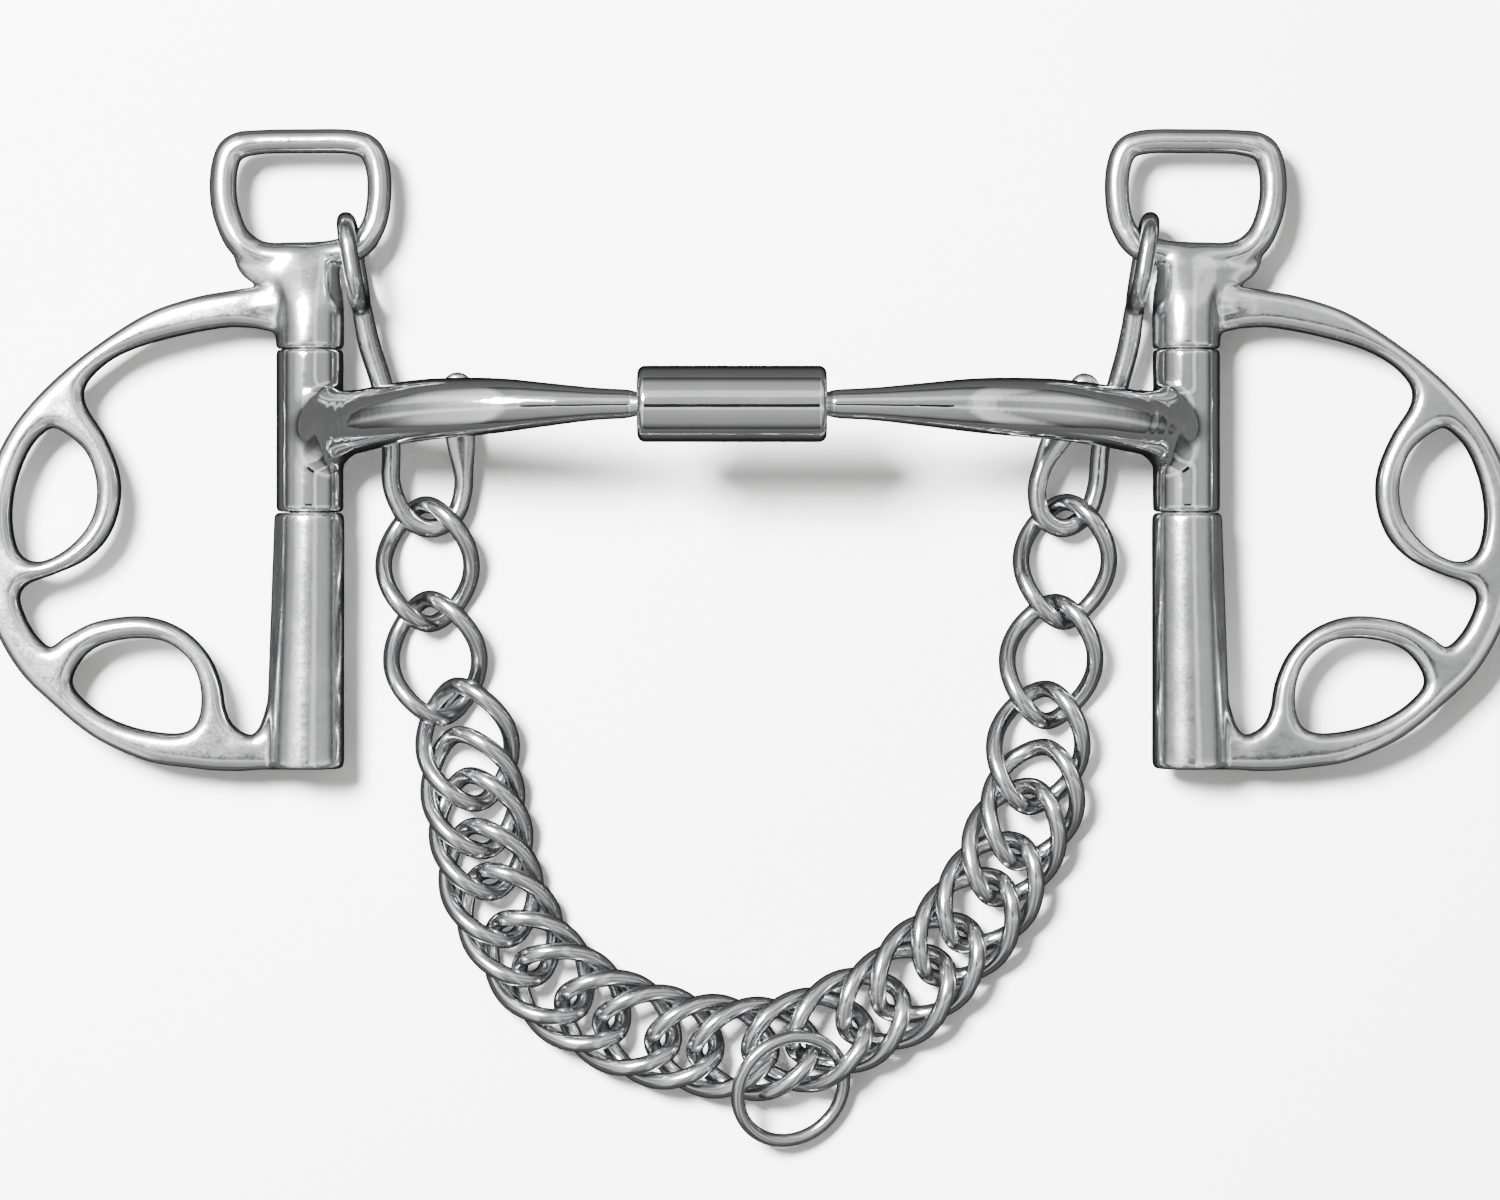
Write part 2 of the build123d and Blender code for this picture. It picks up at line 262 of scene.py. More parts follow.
def slab(name, outlines, z, half, bevel):
    """Flat plate with rounded edges, from closed outlines (outer first, then holes), millimetres."""
    cu = bpy.data.curves.new(name, "CURVE")
    cu.dimensions = "2D"
    cu.fill_mode = "BOTH"
    for j, o in enumerate(outlines):
        o = np.array([(q[0], q[1]) for q in o])
        area2 = np.sum(o[:, 0] * np.roll(o[:, 1], -1) - np.roll(o[:, 0], -1) * o[:, 1])
        if (area2 > 0) != (j == 0):
            o = o[::-1]
        sp = cu.splines.new("POLY")
        sp.points.add(len(o) - 1)
        for i, q in enumerate(o):
            sp.points[i].co = (q[0] * MM, q[1] * MM, 0.0, 1.0)
        sp.use_cyclic_u = True
    cu.extrude = (half - bevel) * MM
    cu.bevel_depth = bevel * MM
    cu.bevel_resolution = 4
    cu.offset = -bevel * MM
    tmp = bpy.data.objects.new(name + "_curve", cu)
    scene.collection.objects.link(tmp)
    dg = bpy.context.evaluated_depsgraph_get()
    dg.update()
    me = bpy.data.meshes.new_from_object(tmp.evaluated_get(dg))
    bpy.data.objects.remove(tmp)
    for v in me.vertices:
        v.co.z += z * MM
    ob = bpy.data.objects.new(name, me)
    scene.collection.objects.link(ob)
    bm = bmesh.new()
    bm.from_mesh(me)
    bmesh.ops.remove_doubles(bm, verts=bm.verts, dist=2e-6)
    bmesh.ops.recalc_face_normals(bm, faces=bm.faces)
    bm.to_mesh(me)
    bm.free()
    return ob


def weld(name, parts, voxel=0.34, smooth=6, factor=0.5):
    """Joins solids into one casting: voxel remesh, then smoothing that rounds every junction."""
    bm = bmesh.new()
    for o in parts:
        bm.from_mesh(o.data)
    me = bpy.data.meshes.new(name)
    bm.to_mesh(me)
    bm.free()
    for o in parts:
        bpy.data.objects.remove(o)
    ob = bpy.data.objects.new(name, me)
    scene.collection.objects.link(ob)
    m = ob.modifiers.new("remesh", "REMESH")
    m.mode = "VOXEL"
    m.voxel_size = voxel * MM
    m.adaptivity = 0.0
    if smooth:
        s = ob.modifiers.new("smooth", "SMOOTH")
        s.factor = factor
        s.iterations = smooth
    dg = bpy.context.evaluated_depsgraph_get()
    dg.update()
    done = bpy.data.meshes.new_from_object(ob.evaluated_get(dg))
    ob.modifiers.clear()
    ob.data = done
    done.name = name
    # keep the main shell only
    bm = bmesh.new()
    bm.from_mesh(done)
    bm.verts.ensure_lookup_table()
    seen, groups = set(), []
    for v in bm.verts:
        if v.index in seen:
            continue
        stack, g = [v], []
        seen.add(v.index)
        while stack:
            q = stack.pop()
            g.append(q)
            for e in q.link_edges:
                w = e.other_vert(q)
                if w.index not in seen:
                    seen.add(w.index)
                    stack.append(w)
        groups.append(g)
    groups.sort(key=len)
    drop = [v for g in groups[:-1] for v in g]
    if drop:
        bmesh.ops.delete(bm, geom=drop, context="VERTS")
    bmesh.ops.recalc_face_normals(bm, faces=bm.faces)
    bm.to_mesh(done)
    bm.free()
    return ob


def swell(ob):
    """Gives back what the smoothing took off, along the normals, more on the D's thin rims than on the shaft."""
    me = ob.data
    nor = [v.normal.copy() for v in me.vertices]
    for v, n in zip(me.vertices, nor):
        k = min(1.0, max(0.0, (-v.co.x / MM - 76.5) / 4.0))
        v.co += n * ((0.08 + 0.22 * k * k * (3 - 2 * k)) * MM)


def shade(ob):
    for p in ob.data.polygons:
        p.use_smooth = True


# ------------------------------------------------------------------ materials
def steel(name, base, rough, peel=0.03, scratch=0.05, stretch=(1.0, 1.0, 1.0)):
    m = bpy.data.materials.new(name)
    m.use_nodes = True
    nt = m.node_tree
    nt.nodes.clear()
    out = nt.nodes.new("ShaderNodeOutputMaterial")
    bs = nt.nodes.new("ShaderNodeBsdfPrincipled")
    bs.inputs["Metallic"].default_value = 1.0
    bs.inputs["IOR"].default_value = 2.5
    nt.links.new(bs.outputs["BSDF"], out.inputs["Surface"])
    tc = nt.nodes.new("ShaderNodeTexCoord")
    # cloudy polish: slow change of tone and gloss
    n1 = nt.nodes.new("ShaderNodeTexNoise")
    n1.inputs["Scale"].default_value = 90.0
    n1.inputs["Detail"].default_value = 5.0
    n1.inputs["Roughness"].default_value = 0.6
    nt.links.new(tc.outputs["Object"], n1.inputs["Vector"])
    ramp = nt.nodes.new("ShaderNodeValToRGB")
    ramp.color_ramp.elements[0].position = 0.32
    ramp.color_ramp.elements[1].position = 0.68
    ramp.color_ramp.elements[0].color = (base[0] * 0.96, base[1] * 0.962, base[2] * 0.965, 1)
    ramp.color_ramp.elements[1].color = (base[0] * 1.02, base[1] * 1.02, base[2] * 1.02, 1)
    nt.links.new(n1.outputs["Fac"], ramp.inputs["Fac"])
    # painted shade: crevices are darkened in the base colour, edges are a little brighter than flats
    geo = nt.nodes.new("ShaderNodeNewGeometry")
    crevice_shade = nt.nodes.new("ShaderNodeMapRange")
    crevice_shade.inputs["From Min"].default_value = 0.40
    crevice_shade.inputs["From Max"].default_value = 0.52
    crevice_shade.inputs["To Min"].default_value = 0.45
    crevice_shade.inputs["To Max"].default_value = 1.0
    nt.links.new(geo.outputs["Pointiness"], crevice_shade.inputs["Value"])
    painted_shade_mix = nt.nodes.new("ShaderNodeMix")
    painted_shade_mix.data_type = "RGBA"
    painted_shade_mix.blend_type = "MULTIPLY"
    painted_shade_mix.inputs["Factor"].default_value = 1.0
    nt.links.new(ramp.outputs["Color"], painted_shade_mix.inputs["A"])
    nt.links.new(crevice_shade.outputs["Result"], painted_shade_mix.inputs["B"])
    nt.links.new(painted_shade_mix.outputs["Result"], bs.inputs["Base Color"])
    # fine scratches from polishing and use
    mp = nt.nodes.new("ShaderNodeMapping")
    mp.inputs["Scale"].default_value = stretch
    nt.links.new(tc.outputs["Object"], mp.inputs["Vector"])
    n2 = nt.nodes.new("ShaderNodeTexNoise")
    n2.inputs["Scale"].default_value = 2600.0
    n2.inputs["Detail"].default_value = 3.0
    nt.links.new(mp.outputs["Vector"], n2.inputs["Vector"])
    rr = nt.nodes.new("ShaderNodeMapRange")
    rr.inputs["From Min"].default_value = 0.3
    rr.inputs["From Max"].default_value = 0.75
    rr.inputs["To Min"].default_value = rough * 0.75
    rr.inputs["To Max"].default_value = rough * 1.6
    add = nt.nodes.new("ShaderNodeMath")
    add.operation = "MULTIPLY_ADD"
    add.inputs[1].default_value = 0.5
    nt.links.new(n1.outputs["Fac"], add.inputs[0])
    half = nt.nodes.new("ShaderNodeMath")
    half.operation = "MULTIPLY"
    half.inputs[1].default_value = 0.5
    nt.links.new(n2.outputs["Fac"], half.inputs[0])
    nt.links.new(half.outputs[0], add.inputs[2])
    nt.links.new(add.outputs[0], rr.inputs["Value"])
    nt.links.new(rr.outputs["Result"], bs.inputs["Roughness"])
    # orange peel of the hand-polished casting, and the scratches
    n3 = nt.nodes.new("ShaderNodeTexNoise")
    n3.inputs["Scale"].default_value = 260.0
    n3.inputs["Detail"].default_value = 2.0
    nt.links.new(tc.outputs["Object"], n3.inputs["Vector"])
    b1 = nt.nodes.new("ShaderNodeBump")
    b1.inputs["Strength"].default_value = peel
    b1.inputs["Distance"].default_value = 0.0006
    nt.links.new(n3.outputs["Fac"], b1.inputs["Height"])
    b2 = nt.nodes.new("ShaderNodeBump")
    b2.inputs["Strength"].default_value = scratch
    b2.inputs["Distance"].default_value = 0.00004
    nt.links.new(n2.outputs["Fac"], b2.inputs["Height"])
    nt.links.new(b1.outputs["Normal"], b2.inputs["Normal"])
    nt.links.new(b2.outputs["Normal"], bs.inputs["Normal"])
    return m


cast_steel = steel("polished_steel", (0.74, 0.745, 0.75), 0.13, 0.10, 0.12)
bar_steel = steel("bar_steel", (0.76, 0.765, 0.77), 0.06, 0.02, 0.03, (0.08, 1.0, 1.0))
# painted shade: chain and hook steel is the same steel made darker, standing in for the shade among the dense chain
# links
shaded_wire_steel = steel("chain_steel", (0.50, 0.503, 0.508), 0.14, 0.08, 0.15)
turned_steel = steel("bearing_steel", (0.50, 0.50, 0.505), 0.22, 0.02, 0.35, (1.0, 0.05, 1.0))


def finish_piece(ob, body, slot, mat, *nodes):
    ob.data.materials.clear()
    ob.data.materials.append(mat)
    shade(ob)
    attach(ob, body)
    if nodes:
        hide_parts(*nodes)


# ------------------------------------------------------------------ sizes shared with the CAD
shaft_x, shaft_z = 69.0, 7.6
sleeve_r, sleeve_y0, sleeve_y1, seam = 5.3, 20.15, 45.75, 0.10
tube_y0 = -20.3
barrel_x, barrel_y, barrel_z, barrel_len, barrel_r = -2.45, 36.3, 30.6, 29.0, 5.85

# ------------------------------------------------------------------ cheekpiece casting
D_out = [(290, 287), (240, 298), (196, 306), (147, 323), (94, 357), (54, 390), (22, 425), (1, 460), (-12, 495),
         (-17, 530), (-16, 568), (-11, 605), (1, 640), (24, 676), (56, 706), (80, 726), (107, 743),
         (150, 760), (190, 766), (225, 769), (290, 769)]
D_in = [(271, 338), (245, 333), (223, 333), (179, 341), (134, 354), (104, 370), (84, 392), (84, 413), (103, 444),
        (117, 479), (118, 511), (107, 542), (85, 564), (54, 578), (28, 587), (18, 599), (21, 616), (33, 638),
        (50, 652), (68, 641), (98, 627), (143, 622), (179, 633), (205, 656), (219, 685), (224, 712), (233, 729),
        (250, 737), (262, 729), (268, 710)]
slot_a = [(58, 434), (43, 438), (27, 457), (14, 491), (10, 527), (18, 560), (40, 569), (70, 555),
          (93, 528), (99, 493), (87, 457)]
slot_b = [(70, 683), (89, 653), (125, 641), (165, 643), (192, 663), (203, 692), (200, 722),
          (184, 735), (152, 734), (116, 724), (86, 706)]


def cheek(name):
    outer = np.vstack([catmull([grid(*p) for p in D_out], 8), [grid(312, 769), grid(312, 287)]])
    inner = np.vstack([catmull([grid(*p) for p in D_in], 8), [grid(275, 520), grid(330, 520), grid(330, 342), grid(284, 342)]])
    sa = catmull([grid(*p) for p in slot_a], 8, True)
    sb = catmull([grid(*p) for p in slot_b], 8, True)
    # the D's straight side is the shaft, so the plate ends in it above and below the sleeve
    plate = slab(name + "_plate", [outer, inner, sa, sb], shaft_z, 2.25, 1.15)
    lp = [(*grid(x, y), shaft_z) for x, y in [(234, 155), (260, 149.2), (307, 148.2), (347, 148.6), (369, 155), (378, 176),
                                              (379, 206), (373, 234), (358, 253), (330, 261), (292, 263), (262, 262), (240, 249),
                                              (228, 226), (223, 200), (225, 172)]]
    lc = resample(catmull(lp, 12, True), 200, True)
    low = np.clip((64.5 - lc[:, 1]) / 6.0, 0, 1)
    loop = tube(name + "_loop", lc, 1.92 + 0.35 * low, seg=28, closed=True)
    st = [(45.85, -69.0, 5.3, 5.3), (50.5, -69.0, 5.3, 5.25), (53.6, -69.15, 5.35, 4.8), (56.0, -69.6, 5.55, 4.0),
          (57.9, -70.3, 6.2, 3.2), (59.5, -71.2, 7.5, 2.5), (60.9, -71.8, 8.8, 2.05), (61.8, -71.9, 9.2, 1.7)]
    c = catmull([(s[1], s[0], shaft_z) for s in st], 6)
    w = catmull([(s[2], s[3], 0) for s in st], 6)
    neck = tube(name + "_neck", c, w[:, 0], w[:, 1], seg=48, up=(0, 0, 1))
    # lower shaft: a little wider towards its foot, on the D's side
    y0, y1 = tube_y0 + 0.06, sleeve_y0 - seam
    ls = [(y1, 0.0, 5.20), (y1 - 0.25, 0.0, 5.35), (y1 - 3, 0.0, 5.38), (y1 - 12, -0.12, 5.48), (y1 - 24, -0.35, 5.70),
          (y1 - 33, -0.55, 5.90), (y0 + 1.2, -0.62, 5.98), (y0 + 0.35, -0.62, 5.90), (y0, -0.62, 5.55)]
    lowc = resample(catmull([(-shaft_x + c, y, shaft_z) for y, c, a_ in ls], 6), 120)
    lw = np.interp(-lowc[:, 1], [-y for y, c, a_ in ls], [a_ for y, c, a_ in ls])
    lower = tube(name + "_lower", lowc, lw, np.minimum(lw, 5.35), seg=64, up=(0, 0, 1))
    # the fillet where the D's straight side runs into the shaft
    gus = [(*grid(x, y), shaft_z) for x, y in [(262, 748), (272, 735), (279, 716), (285, 690), (290, 650)]]
    gusset = tube(name + "_gusset", catmull(gus, 6), 2.3, seg=24)
    arm = [(*grid(x, y), shaft_z) for x, y in [(238, 316), (262, 313), (286, 309), (306, 300)]]
    arm_end = tube(name + "_arm_end", catmull(arm, 6), np.linspace(2.2, 3.4, 19), np.linspace(2.2, 3.2, 19), seg=24)
    ob = weld(name, [plate, loop, neck, lower, gusset, arm_end], 0.34, 22, 0.5)
    swell(ob)
    return ob


left = cheek("left_cheek_casting")
# cut the sleeve's space clean: nothing of the casting may reach into it
bm = bmesh.new()
bm.from_mesh(left.data)
y_lo, y_hi = (sleeve_y0 - seam) * MM, (sleeve_y1 + seam) * MM
for v in bm.verts:
    r = math.hypot(v.co.x + shaft_x * MM, v.co.z - shaft_z * MM)
    if r < 5.6 * MM:
        if y_lo < v.co.y < y_lo + 0.0007:
            v.co.y = y_lo
        elif y_hi - 0.0007 < v.co.y < y_hi:
            v.co.y = y_hi
bm.to_mesh(left.data)
right = bpy.data.objects.new("right_cheek_casting", left.data.copy())
scene.collection.objects.link(right)
for v in right.data.vertices:
    v.co.x = -v.co.x
bm.free()
bm = bmesh.new()
bm.from_mesh(right.data)
bmesh.ops.reverse_faces(bm, faces=bm.faces)
bm.to_mesh(right.data)
bm.free()
finish_piece(left, "left_cheekpiece", "polished_steel", cast_steel, "left_cheek")
finish_piece(right, "right_cheekpiece", "polished_steel", cast_steel, "right_cheek")


# ------------------------------------------------------------------ mouth bars
def bar(side, name):
    sx = side * shaft_x
    end_x = barrel_x + side * barrel_len / 2
    span = abs(sx - end_x)
    ymid = (sleeve_y0 + sleeve_y1) / 2
    k = (span - 2.0) / 50.0
    st = [(0.0, 0.0, 0.0, 4.8), (5.3, 5.0, 0.6, 4.9), (12.0 * k, 11.0, 1.9, 4.8), (20.0 * k, 16.0, 2.8, 4.75),
          (30.0 * k, 19.8, 3.2, 4.3), (38.0 * k, 21.6, 3.3, 3.4), (45.0 * k, 22.6, 3.35, 2.6),
          (50.0 * k, 23.0, 3.35, 2.3), (span - 0.7, 23.0, 3.35, 2.1), (span, 23.0, 3.35, 1.85), (span + 1.5, 23.0, 3.35, 1.85),
          (span + 3.12, 23.0, 3.35, 1.85)]
    pts = catmull([(sx - side * d, ymid + u, shaft_z + h) for d, h, u, r in st], 8)
    rad = catmull([(r, 0, 0) for d, h, u, r in st], 8)[:, 0]
    body = tube(name + "_bar", pts, rad, seg=40)
    r0 = 0.25
    prof = [(sleeve_y0, 0.01), (sleeve_y0, sleeve_r - r0), (sleeve_y0 + r0, sleeve_r), (sleeve_y1 - r0, sleeve_r),
            (sleeve_y1, sleeve_r - r0), (sleeve_y1, 0.01)]
    sleeve = lathe(name + "_sleeve", prof, "Y", (sx, 0, shaft_z), 96)
    # the root spreads along the sleeve and narrows into the bar
    d = np.array([-side * 0.73, 0.08, 0.68])
    d /= np.linalg.norm(d)
    o = np.array([sx, ymid, shaft_z])
    rs = [(0.0, 9.4, 4.7), (2.2, 8.7, 4.9), (4.2, 7.2, 5.0), (6.3, 5.9, 5.0), (8.6, 5.1, 4.9), (11.5, 4.75, 4.75)]
    cp = catmull([tuple(o + d * s + np.array([0, 0.05 * s, 0])) for s, a, b in rs], 5)
    cr = catmull([(a, b, 0) for s, a, b in rs], 5)
    root = tube(name + "_root", cp, cr[:, 1], cr[:, 0], seg=40, up=(0, 1, 0))
    ob = weld(name, [body, sleeve, root], 0.34, 14, 0.5)
    # run the bar out into the sleeve: the nearer the root, the more it is smoothed
    bm1 = bmesh.new()
    bm1.from_mesh(ob.data)
    mid = Vector(((sx - side * 3.4) * MM, (ymid + 0.2) * MM, (shaft_z + 3.2) * MM))
    for reach, times in ((9.5, 10), (8.2, 12), (6.8, 12), (5.4, 10)):
        near = [v for v in bm1.verts if (v.co - mid).length < reach * MM]
        for _ in range(times):
            bmesh.ops.smooth_vert(bm1, verts=near, factor=0.5, use_axis_x=True, use_axis_y=True, use_axis_z=True)
    bm1.to_mesh(ob.data)
    bm1.free()
    hx = barrel_x + side * (barrel_len / 2 - 3.12)
    head = lathe(name + "_head", [(hx, 1.3), (hx, 3.9), (hx - side * 0.2, 4.1), (hx - side * 2.4, 4.1), (hx - side * 2.6, 3.9),
                                  (hx - side * 2.6, 1.3)], "X", (0, barrel_y, barrel_z), 64)
    bm2 = bmesh.new()
    bm2.from_mesh(ob.data)
    bm2.from_mesh(head.data)
    bm2.to_mesh(ob.data)
    bm2.free()
    bpy.data.objects.remove(head)
    return ob


lb = bar(-1, "left_mouth_casting")
rb = bar(1, "right_mouth_casting")
finish_piece(lb, "left_mouth", "polished_steel", bar_steel, "left_mouth_bar")
finish_piece(rb, "right_mouth", "polished_steel", bar_steel, "right_mouth_bar")

# ------------------------------------------------------------------ centre barrel
x0, x1 = barrel_x - barrel_len / 2, barrel_x + barrel_len / 2
arc = [(1.2 * (1 - math.cos(t)), barrel_r - 1.2 + 1.2 * math.sin(t)) for t in np.linspace(0, math.pi / 2, 10)]
prof = [(x0 + 0.15, 4.57), (x0, 4.62)] + [(x0 + a, r) for a, r in arc]
prof += [(x0 + 1.2 + (barrel_len - 2.4) * i / 24, barrel_r) for i in range(1, 24)]
prof += [(x1 - a, r) for a, r in reversed(arc)] + [(x1, 4.62), (x1 - 0.15, 4.57)]
bobj = lathe("barrel_roller", prof, "X", (0, barrel_y, barrel_z), 160)
finish_piece(bobj, "barrel", "polished_steel", bar_steel, "centre_barrel")


# ------------------------------------------------------------------ curb hooks
def hook(side, name):
    s = 1 if side < 0 else -1
    c = (353.5 - 748.0) / 6.35 * s
    cy = (640.0 - 263.6) / 6.35
    dx, dy = 0.167 * s, -0.986
    hl, hw = 6.8, 5.95
    corners = [(1, 1), (1, -1), (-1, -1), (-1, 1)]
    ep = rounded_poly([(c + dx * hl * i, cy + dy * hl * i, shaft_z + hw * j) for i, j in corners], 5.0)
    ep = resample(ep, 120, True)
    eye = tube(name + "_eye", ep, 1.42, seg=24, closed=True)
    if side < 0:
        sp = [flat(361.4, 306, 7.6), flat(368, 343, 7.0), flat(384, 392, 6.2), flat(391, 440, 5.6), flat(389, 487, 5.35),
              flat(404, 519, 5.0), flat(429, 531, 4.2), flat(454, 518, 3.4), flat(463, 488, 3.5), flat(461, 455, 4.2),
              flat(457, 415, 4.8), flat(456, 371, 5.0)]
    else:
        sp = [flat(1134.6, 306, 7.6), flat(1130, 343, 6.4), flat(1117, 392, 5.0), flat(1102, 440, 4.0), flat(1099, 487, 3.3),
              flat(1089, 516, 3.4), flat(1064, 531, 4.3), flat(1041, 518, 5.1), flat(1036, 488, 5.5), flat(1047, 455, 5.7),
              flat(1068, 420, 5.9), flat(1092, 374, 6.0)]
    p = resample(bent(sp), 220)
    t = np.linspace(0, 1, len(p))
    # round wire, flattening into the thumb blade, which ends in a round tip
    k = np.clip((t - 0.735) / 0.12, 0, 1)
    k = k * k * (3 - 2 * k)
    ra = 1.5 + 0.9 * k
    rb = 1.5 - 0.45 * k
    tot = np.linalg.norm(np.diff(p, axis=0), axis=1).sum()
    left_to_tip = (1 - t) * tot
    tip = np.sqrt(np.clip(1 - (1 - np.clip(left_to_tip / 2.4, 0, 1)) ** 2, 0.0, 1))
    ra, rb = ra * np.maximum(tip, 0.05), rb * np.maximum(tip ** 0.6, 0.05)
    up_part = np.clip((0.34 - t) / 0.08, 0, 1)
    up_part = up_part * np.clip(t / 0.08, 0, 1)
    ra, rb = ra + 0.25 * up_part, rb + 0.25 * up_part
    # where the wire closes on itself under the eye it is a little swollen
    root = np.exp(-(t / 0.035) ** 2)
    ra, rb = ra + 0.06 * root, rb + 0.06 * root
    wire = tube(name + "_wire", p, ra, rb, seg=28, up=(0, 0, 1))
    return weld(name, [eye, wire], 0.24, 4, 0.5)


hk = hook(-1, "left_hook_forged")
finish_piece(hk, "left_hook", "polished_steel", shaded_wire_steel, "left_curb_hook")
hk = hook(1, "right_hook_forged")
finish_piece(hk, "right_hook", "polished_steel", shaded_wire_steel, "right_curb_hook")

# ------------------------------------------------------------------ curb chain
link_r, link_b, link_a, link_twist = 1.35, 6.95, 9.45, math.radians(46.0)
links = [
    ("left_single_link_1", (-50.709, 11.968, 4.230), (0.00, 0.00, 2.0)),
    ("left_single_link_2", (-49.505, -2.902, 4.221), (0.0, 0.0, 7.0)),
    ("left_single_link_3", (-44.416, -16.532, 4.223), (0.07, 0.10, 11.37)),
    ("double_link_1a", (-43.605, -24.130, 4.245), (0.02, 0.68, 15.20)),
    ("double_link_1b", (-42.296, -30.669, 4.247), (-0.84, 0.29, 13.24)),
    ("double_link_2a", (-40.696, -38.386, 4.309), (-0.76, 1.27, 20.74)),
    ("double_link_2b", (-37.625, -44.976, 4.404), (0.64, 2.86, 28.94)),
    ("double_link_3a", (-33.256, -51.700, 4.215), (-1.82, -0.64, 42.87)),
    ("double_link_3b", (-28.058, -56.247, 4.484), (1.47, 0.02, 54.17)),
    ("double_link_4a", (-20.656, -60.375, 4.178), (0.16, -0.49, 65.51)),
    ("double_link_4b", (-14.205, -62.616, 4.336), (1.69, 0.07, 73.46)),
    ("double_link_5a", (-5.774, -64.205, 4.102), (-0.81, 0.25, 84.41)),
    ("double_link_5b", (0.977, -64.679, 4.309), (1.02, -0.97, 93.01)),
    ("double_link_6a", (9.428, -63.265, 4.667), (-2.84, -4.15, 103.36)),
    ("double_link_6b", (15.750, -60.477, 4.417), (3.90, 0.43, 117.67)),
    ("double_link_7a", (23.372, -56.501, 4.200), (0.63, -1.83, 125.34)),
    ("double_link_7b", (28.248, -51.942, 4.374), (0.85, 1.34, 132.15)),
    ("double_link_8a", (34.383, -45.580, 4.159), (0.89, -1.30, 142.99)),
    ("double_link_8b", (38.160, -40.053, 4.300), (0.61, 0.14, 146.90)),
    ("double_link_9a", (42.010, -32.071, 4.177), (-0.57, -1.54, 158.03)),
    ("double_link_9b", (44.893, -26.132, 4.341), (2.13, 1.07, 163.68)),
    ("right_single_link_3", (45.832, -17.076, 4.217), (0.06, -0.02, 169.75)),
    ("right_single_link_2", (47.878, -3.432, 4.230), (0.0, 0.0, 174.0)),
    ("right_single_link_1", (50.075, 12.343, 4.230), (0.0, 0.0, 178.0)),
]
ring_wire_r, ring_R = 1.05, 8.9
lip_c = (6.754, -70.734, 6.666)
lip_rot = (19.97, 19.76, 0.57)
th = np.linspace(0, 2 * math.pi, 168, endpoint=False)
yy = link_a * np.sin(th)
ps = link_twist * yy / link_a
rr_ = link_b * np.cos(th)
link_curve = np.stack([rr_ * np.cos(ps), yy, rr_ * np.sin(ps)], 1)
body_of_node = {}
for b, ns in frame["record"]["behaviour"]["bodies"].items():
    for nname in ns:
        body_of_node[nname] = b


def euler_xyz(rx, ry, rz):
    return (Matrix.Rotation(math.radians(rx), 3, "X") @ Matrix.Rotation(math.radians(ry), 3, "Y")
            @ Matrix.Rotation(math.radians(rz), 3, "Z"))


for node, c, rot in links:
    R = np.array(euler_xyz(*rot))
    path = link_curve @ R.T + np.array(c)
    ob = tube(node + "_wire", path, link_r, seg=22, closed=True)
    finish_piece(ob, body_of_node[node], "chain_steel", shaded_wire_steel, node)

# ------------------------------------------------------------------ lip strap ring
ph = np.linspace(0, 2 * math.pi, 144, endpoint=False)
circ = np.stack([ring_R * np.cos(ph), ring_R * np.sin(ph), 0 * ph], 1)
path = circ @ np.array(euler_xyz(*lip_rot)).T + np.array(lip_c)
ring = tube("strap_ring_wire", path, ring_wire_r, seg=22, closed=True)
finish_piece(ring, "strap_ring", "chain_steel", shaded_wire_steel, "lip_strap_ring")

# ------------------------------------------------------------------ CAD pieces that stay
for node in ("left_swivel_pin", "right_swivel_pin", "barrel_bush_left", "barrel_bush_right", "alignment_spindle"):
    o = frame["nodes"][node]
    if not o.material_slots:
        o.data.materials.append(turned_steel)
    for s in o.material_slots:
        s.link = "OBJECT"
        s.material = turned_steel

# ------------------------------------------------------------------ floor, light, world
bpy.ops.mesh.primitive_plane_add(size=6.0, location=(0, 0, -0.0002))
floor = bpy.context.object
floor.name = "floor"
fm = bpy.data.materials.new("floor_card")
fm.use_nodes = True
fb = fm.node_tree.nodes["Principled BSDF"]
fb.inputs["Base Color"].default_value = (0.60, 0.595, 0.59, 1)
fb.inputs["Roughness"].default_value = 0.85
fb.inputs["Specular IOR Level"].default_value = 0.1
floor.data.materials.append(fm)
floor.visible_glossy = False


def area(name, loc, size, power, target=(0, 0, 0), sy=None):
    d = bpy.data.lights.new(name, "AREA")
    d.energy = power
    d.size = size
    if sy:
        d.shape = "RECTANGLE"
        d.size_y = sy
    o = bpy.data.objects.new(name, d)
    scene.collection.objects.link(o)
    o.location = loc
    v = Vector(target) - Vector(loc)
    o.rotation_euler = v.to_track_quat("-Z", "Y").to_euler()
    return o


key = area("key", (-0.34, 0.30, 0.82), 0.24, 125.0)

w = bpy.data.worlds.new("studio")
scene.world = w
w.use_nodes = True
nt = w.node_tree
nt.nodes.clear()
wo = nt.nodes.new("ShaderNodeOutputWorld")
bg = nt.nodes.new("ShaderNodeBackground")
nt.links.new(bg.outputs[0], wo.inputs[0])
tc = nt.nodes.new("ShaderNodeTexCoord")
sx = nt.nodes.new("ShaderNodeSeparateXYZ")
nt.links.new(tc.outputs["Generated"], sx.inputs[0])


def ramp_of(out, stops):
    mr = nt.nodes.new("ShaderNodeMapRange")
    mr.inputs["From Min"].default_value = -1.0
    mr.inputs["From Max"].default_value = 1.0
    nt.links.new(out, mr.inputs["Value"])
    cr = nt.nodes.new("ShaderNodeValToRGB")
    el = cr.color_ramp.elements
    while len(el) > 1:
        el.remove(el[-1])
    first = True
    for v, c in stops:
        if first:
            e = el[0]
            e.position = (v + 1) / 2
            first = False
        else:
            e = el.new((v + 1) / 2)
        e.color = (c, c, c, 1)
    nt.links.new(mr.outputs["Result"], cr.inputs["Fac"])
    return cr.outputs["Color"]


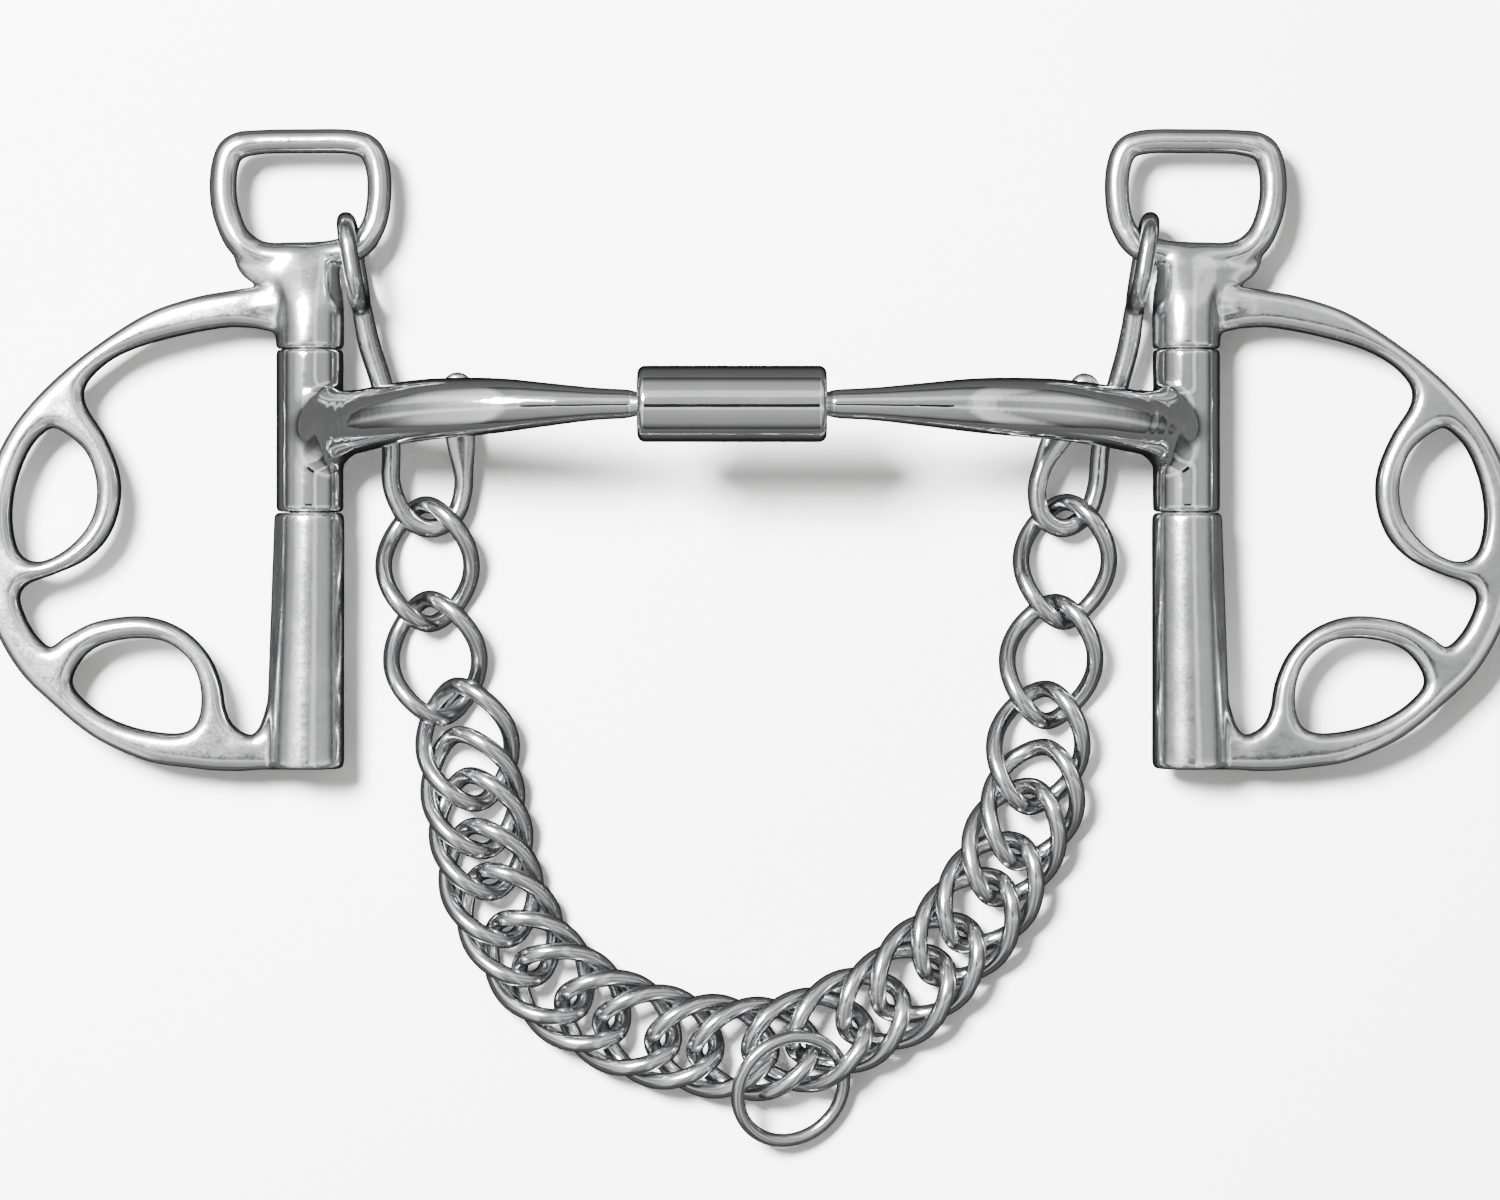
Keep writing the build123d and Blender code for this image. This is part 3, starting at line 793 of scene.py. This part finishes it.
# light tent seen in the metal: grey front half, paler back half, dark slit between, dark horizon
cy_ = ramp_of(sx.outputs["Y"], [(-1.0, 0.06), (-0.85, 0.16), (-0.60, 0.24), (-0.36, 0.34), (-0.26, 0.85), (-0.22, 0.95), (-0.03, 0.30),
                                (0.10, 0.32), (0.30, 0.36), (0.34, 0.80), (0.58, 0.80), (0.66, 0.34), (0.90, 0.24), (1.0, 0.06)])
cx_ = ramp_of(sx.outputs["X"], [(-1.0, 0.03), (-0.80, 0.08), (-0.64, 0.60), (-0.36, 1.0), (-0.28, 0.10), (0.0, 0.20), (0.25, 0.12),
                                (0.31, 0.85), (0.44, 0.65), (0.50, 0.04), (0.62, 0.15), (0.85, 0.12), (1.0, 0.03)])
cz_ = ramp_of(sx.outputs["Z"], [(-1.0, 0.004), (-0.75, 0.010), (-0.45, 0.055), (0.0, 0.075), (0.10, 0.09), (0.20, 0.30), (0.45, 1.0), (1.0, 1.0)])
mixn = nt.nodes.new("ShaderNodeMix")
mixn.data_type = "RGBA"
mixn.blend_type = "MIX"
mixn.inputs["Factor"].default_value = 0.45
nt.links.new(cy_, mixn.inputs["A"])
nt.links.new(cx_, mixn.inputs["B"])
up = nt.nodes.new("ShaderNodeMath")
up.operation = "GREATER_THAN"
up.inputs[1].default_value = 0.10
nt.links.new(sx.outputs["Z"], up.inputs[0])
mm_ = nt.nodes.new("ShaderNodeMix")
mm_.data_type = "RGBA"
mm_.blend_type = "MULTIPLY"
nt.links.new(up.outputs[0], mm_.inputs["Factor"])
nt.links.new(cz_, mm_.inputs["A"])
nt.links.new(mixn.outputs["Result"], mm_.inputs["B"])
nt.links.new(mm_.outputs["Result"], bg.inputs["Color"])
# a thin black strip over the middle of the tent, seen as a line along the barrel
ty = nt.nodes.new("ShaderNodeMath")
ty.operation = "COMPARE"
ty.inputs[1].default_value = -0.13
ty.inputs[2].default_value = 0.085
nt.links.new(sx.outputs["Y"], ty.inputs[0])
tx = nt.nodes.new("ShaderNodeMath")
tx.operation = "COMPARE"
tx.inputs[1].default_value = 0.0
tx.inputs[2].default_value = 0.20
nt.links.new(sx.outputs["X"], tx.inputs[0])
tt = nt.nodes.new("ShaderNodeMath")
tt.operation = "MULTIPLY"
nt.links.new(ty.outputs[0], tt.inputs[0])
nt.links.new(tx.outputs[0], tt.inputs[1])
ts = nt.nodes.new("ShaderNodeMath")
ts.operation = "MULTIPLY_ADD"
ts.inputs[1].default_value = -2.55
ts.inputs[2].default_value = 2.6
nt.links.new(tt.outputs[0], ts.inputs[0])
nt.links.new(ts.outputs[0], bg.inputs["Strength"])
